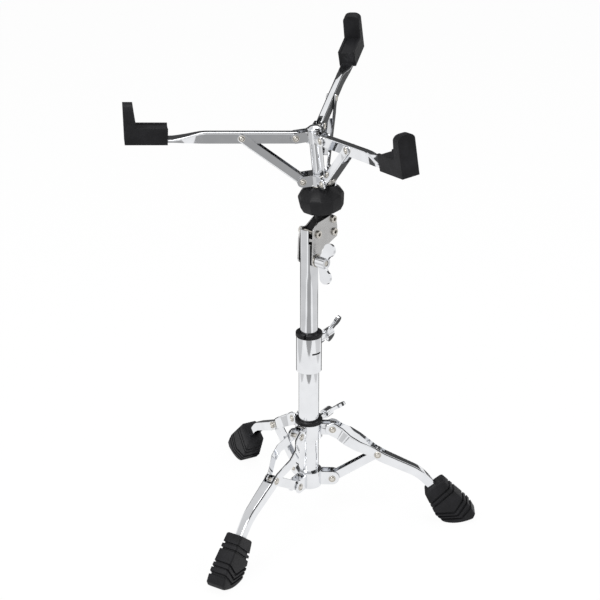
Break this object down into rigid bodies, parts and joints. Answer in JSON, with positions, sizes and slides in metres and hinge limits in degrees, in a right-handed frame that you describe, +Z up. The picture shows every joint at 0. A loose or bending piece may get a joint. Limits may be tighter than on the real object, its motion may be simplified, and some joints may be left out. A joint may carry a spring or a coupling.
{
  "type": "snare drum stand",
  "caption": "Folding chrome snare drum stand with a tripod base, telescoping tube, tilter and a closing basket with rubber grips.",
  "frame": {"origin": "on the floor under the middle of the part's bounding box, at the soles' level", "axes": "+Z up along the tube, +X to the right of the picture, +Y away from the camera"},
  "size_m": [0.3756, 0.364, 0.5329],
  "materials": {
    "chrome_steel": "bright plated",
    "satin_steel": "satin plated",
    "rivet_steel": "polished nickel",
    "black_plastic": "satin black nylon",
    "black_rubber": "satin black rubber",
    "brass_insert": "turned"
  },
  "bodies": {
    "base": {"base_tube": "chrome_steel", "lower_hub": "chrome_steel", "lower_hub_rivets": "rivet_steel", "height_clamp": "chrome_steel"},
    "mast_bushing": {"height_bushing": "black_plastic"},
    "mast": {"mast_tube": "chrome_steel"},
    "height_wing": {"height_wing_bolt": "chrome_steel"},
    "collar": {"leg_collar": "chrome_steel", "collar_bushing": "black_plastic", "collar_rivets": "rivet_steel"},
    "collar_wing": {"collar_wing_bolt": "chrome_steel"},
    "tilter": {"tilter_plate_near": "satin_steel", "tilter_plate_far": "satin_steel", "tilter_block": "black_plastic", "tilter_screws": "chrome_steel", "tilter_nuts": "chrome_steel", "tilter_bolt": "chrome_steel", "tilter_washer": "chrome_steel", "basket_post": "chrome_steel", "top_cap": "chrome_steel", "top_hub": "chrome_steel", "top_hub_rivets": "rivet_steel"},
    "tilter_wing": {"tilter_wing_nut": "chrome_steel"},
    "slider": {"slider_hub": "chrome_steel", "slider_rivets": "rivet_steel", "thrust_washer": "chrome_steel"},
    "knob": {"basket_knob": "black_plastic", "knob_insert": "brass_insert"},
    "leg_strut_right": {"leg_strut_right": "chrome_steel"},
    "leg_right": {"leg_right": "chrome_steel", "strut_rivet_right": "rivet_steel", "foot_right": "black_rubber"},
    "leg_strut_rear": {"leg_strut_rear": "chrome_steel"},
    "leg_rear": {"leg_rear": "chrome_steel", "strut_rivet_rear": "rivet_steel", "foot_rear": "black_rubber"},
    "leg_strut_front": {"leg_strut_front": "chrome_steel"},
    "leg_front": {"leg_front": "chrome_steel", "strut_rivet_front": "rivet_steel", "foot_front": "black_rubber"},
    "arm_left": {"basket_arm_left": "chrome_steel", "arm_rivet_left": "rivet_steel", "grip_left": "black_rubber"},
    "basket_strut_left": {"basket_strut_left": "chrome_steel"},
    "arm_front": {"basket_arm_front": "chrome_steel", "arm_rivet_front": "rivet_steel", "grip_front": "black_rubber"},
    "basket_strut_front": {"basket_strut_front": "chrome_steel"},
    "arm_rear": {"basket_arm_rear": "chrome_steel", "arm_rivet_rear": "rivet_steel", "grip_rear": "black_rubber"},
    "basket_strut_rear": {"basket_strut_rear": "chrome_steel"}
  },
  "joints": [
    {"name": "mast_swivel", "type": "hinge", "parent": "base", "child": "mast_bushing", "pos_m": [0.00058, -0.00978, 0.20121], "axis": [0, 0, 1], "continuous": true},
    {"name": "mast_height", "type": "slide", "parent": "mast_bushing", "child": "mast", "axis": [0, 0, 1], "range_m": [-0.05, 0.08]},
    {"name": "height_wing_turn", "type": "hinge", "parent": "base", "child": "height_wing", "pos_m": [0.01797, 0.01827, 0.21121], "axis": [0.527, 0.8499, 0], "continuous": true},
    {"name": "leg_fold", "type": "hinge", "parent": "base", "child": "leg_strut_right", "pos_m": [0.02677, -0.0106, 0.05087], "axis": [-0.0314, -0.9995, 0], "range_deg": [-8, 46]},
    {"name": "leg_knee_right", "type": "hinge", "parent": "leg_strut_right", "child": "leg_right", "pos_m": [0.0767, -0.01217, 0.08185], "axis": [-0.0314, -0.9995, 0], "range_deg": [-92, 16]},
    {"name": "leg_fold_rear", "type": "hinge", "parent": "base", "child": "leg_strut_rear", "pos_m": [-0.0118, 0.01331, 0.05087], "axis": [0.8813, 0.4726, 0], "range_deg": [-8, 46]},
    {"name": "leg_knee_rear", "type": "hinge", "parent": "leg_strut_rear", "child": "leg_rear", "pos_m": [-0.03541, 0.05734, 0.08185], "axis": [0.8813, 0.4726, 0], "range_deg": [-92, 16]},
    {"name": "leg_fold_front", "type": "hinge", "parent": "base", "child": "leg_strut_front", "pos_m": [-0.01323, -0.03205, 0.05087], "axis": [-0.8499, 0.527, 0], "range_deg": [-8, 46]},
    {"name": "leg_knee_front", "type": "hinge", "parent": "leg_strut_front", "child": "leg_front", "pos_m": [-0.03955, -0.07451, 0.08185], "axis": [-0.8499, 0.527, 0], "range_deg": [-92, 16]},
    {"name": "collar_pivot", "type": "hinge", "parent": "leg_right", "child": "collar", "pos_m": [0.02677, -0.0106, 0.11282], "axis": [-0.0314, -0.9995, 0], "range_deg": [-8, 46]},
    {"name": "collar_wing_turn", "type": "hinge", "parent": "collar", "child": "collar_wing", "pos_m": [0.01797, 0.01827, 0.11382], "axis": [0.527, 0.8499, 0], "continuous": true},
    {"name": "basket_tilt", "type": "hinge", "parent": "mast", "child": "tilter", "pos_m": [0.00058, -0.00978, 0.31121], "axis": [0.7515, -0.6597, 0], "range_deg": [-32, 10]},
    {"name": "tilter_wing_turn", "type": "hinge", "parent": "tilter", "child": "tilter_wing", "pos_m": [0.00058, -0.00978, 0.31121], "axis": [0.7515, -0.6597, 0], "continuous": true},
    {"name": "arm_fold_left", "type": "hinge", "parent": "tilter", "child": "arm_left", "pos_m": [-0.01391, -0.006, 0.44315], "axis": [-0.139, 0.9857, 0.0957], "range_deg": [0, 42]},
    {"name": "strut_fold_left", "type": "hinge", "parent": "arm_left", "child": "basket_strut_left", "pos_m": [-0.06898, -0.014, 0.44556], "axis": [-0.139, 0.9857, 0.0957], "range_deg": [-24.51, 0]},
    {"name": "arm_fold_front", "type": "hinge", "parent": "tilter", "child": "arm_front", "pos_m": [0.01564, -0.02143, 0.44431], "axis": [-0.8811, -0.453, -0.1359], "range_deg": [0, 42]},
    {"name": "strut_fold_front", "type": "hinge", "parent": "arm_front", "child": "basket_strut_front", "pos_m": [0.0403, -0.07106, 0.44987], "axis": [-0.8811, -0.453, -0.1359], "range_deg": [-24.51, 0]},
    {"name": "arm_fold_rear", "type": "hinge", "parent": "tilter", "child": "arm_rear", "pos_m": [0.01144, 0.01615, 0.44807], "axis": [0.9616, -0.2671, 0.064], "range_deg": [0, 42]},
    {"name": "strut_fold_rear", "type": "hinge", "parent": "arm_rear", "child": "basket_strut_rear", "pos_m": [0.02477, 0.0679, 0.46376], "axis": [0.9616, -0.2671, 0.064], "range_deg": [-24.51, 0]},
    {"name": "slider_lift", "type": "slide", "parent": "tilter", "child": "slider", "axis": [-0.0963, -0.1097, 0.9893], "range_m": [0, 0.02001]},
    {"name": "knob_turn", "type": "hinge", "parent": "slider", "child": "knob", "pos_m": [0.01419, 0.00572, 0.36328], "axis": [-0.0963, -0.1097, 0.9893], "continuous": true}
  ],
  "couplings": [
    {"joint": "leg_knee_right", "follows": "leg_fold", "ratio": -2},
    {"joint": "leg_fold_rear", "follows": "leg_fold", "ratio": 1},
    {"joint": "leg_knee_rear", "follows": "leg_fold", "ratio": -2},
    {"joint": "leg_fold_front", "follows": "leg_fold", "ratio": 1},
    {"joint": "leg_knee_front", "follows": "leg_fold", "ratio": -2},
    {"joint": "collar_pivot", "follows": "leg_fold", "ratio": 1},
    {"joint": "arm_fold_left", "follows": "slider_lift", "rad_per_m": 36.634},
    {"joint": "strut_fold_left", "follows": "slider_lift", "rad_per_m": -21.376},
    {"joint": "arm_fold_front", "follows": "slider_lift", "rad_per_m": 36.634},
    {"joint": "strut_fold_front", "follows": "slider_lift", "rad_per_m": -21.376},
    {"joint": "arm_fold_rear", "follows": "slider_lift", "rad_per_m": 36.634},
    {"joint": "strut_fold_rear", "follows": "slider_lift", "rad_per_m": -21.376}
  ]
}
